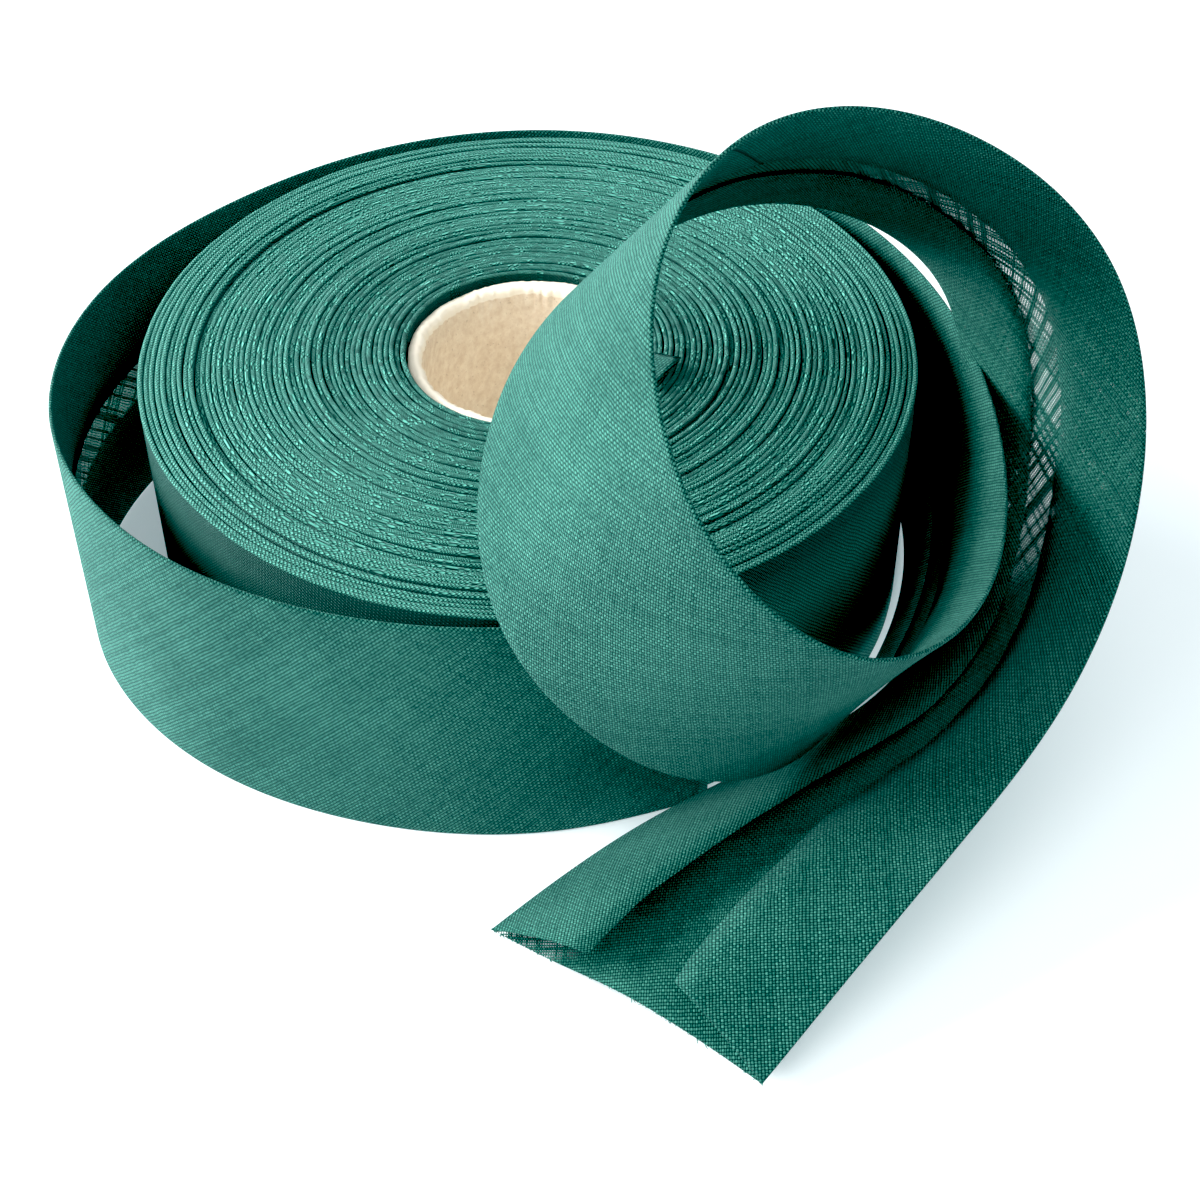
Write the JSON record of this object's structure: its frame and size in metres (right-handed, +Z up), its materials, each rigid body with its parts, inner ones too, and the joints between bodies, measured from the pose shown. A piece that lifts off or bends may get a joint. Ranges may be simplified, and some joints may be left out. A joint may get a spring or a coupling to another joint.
{
  "type": "roll of bias binding",
  "caption": "Roll of folded cotton bias binding on a cardboard core, its outer turn sprung loose, looped over at the right and ending flat on the table in front.",
  "frame": {"origin": "on the table, under the middle of the whole thing's box", "axes": "+Z up along the roll's axis, -Y the front where the cut end lies, +X to the side that the loop stands on"},
  "size_m": [0.1498, 0.1604, 0.0981],
  "materials": {
    "binding": "plain-woven cotton cut on the bias, matt with a soft sheen",
    "core": "kraft board, pale and torn at its rim"
  },
  "bodies": {
    "root": {"core_tube": "core", "wound_roll": "binding", "loose_tape": "binding"}
  },
  "joints": []
}
